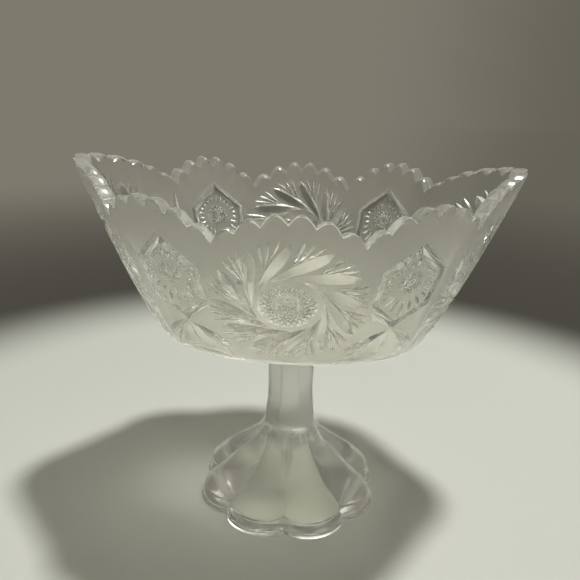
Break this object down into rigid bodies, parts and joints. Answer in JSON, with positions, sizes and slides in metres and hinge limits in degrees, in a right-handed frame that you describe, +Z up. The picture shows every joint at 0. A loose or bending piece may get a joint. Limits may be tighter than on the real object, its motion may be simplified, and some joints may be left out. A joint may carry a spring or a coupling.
{
  "type": "footed compote bowl",
  "caption": "Boat-shaped pressed-glass compote bowl with a lobed, scalloped rim, joined by a glass wafer to a hollow pedestal with a petal foot.",
  "frame": {"origin": "middle of the foot's flat underside, on the surface that the bowl stands on", "axes": "+Z up along the stem, +X along the bowl's long axis from one raised end to the other, +Y across it"},
  "size_m": [0.2274, 0.1724, 0.1895],
  "materials": {
    "satin_glass": "satin outside with cut pattern, clear and glossy inside",
    "joint_glass": "fire-polished disc of clear glass",
    "foot_glass": "satin outside, with a bright worn edge round the petals"
  },
  "bodies": {
    "root": {"bowl": "satin_glass", "joining_wafer": "joint_glass", "pedestal": "foot_glass"}
  },
  "joints": []
}
